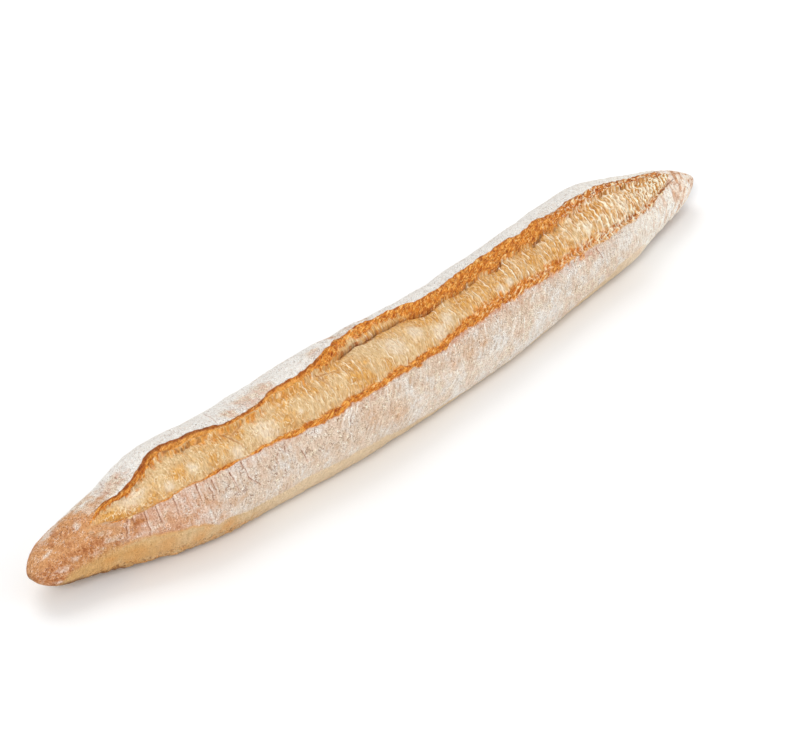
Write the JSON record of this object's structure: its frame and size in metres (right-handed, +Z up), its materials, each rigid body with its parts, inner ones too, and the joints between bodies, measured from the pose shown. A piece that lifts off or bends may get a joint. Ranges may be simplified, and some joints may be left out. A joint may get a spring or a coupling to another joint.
{
  "type": "sourdough baguette",
  "caption": "Long floury bread stick with tapered ends, a flat base and a lengthwise cut on top whose far edge stands up as an ear.",
  "frame": {"origin": "centre of the bounding box on the flat base that the loaf rests on", "axes": "+X along the loaf towards its slimmer end, +Z up, the open side of the cut faces -Y"},
  "size_m": [0.52, 0.0756, 0.0568],
  "materials": {
    "crust": "matt, floury"
  },
  "bodies": {
    "root": {"loaf": "crust"}
  },
  "joints": []
}
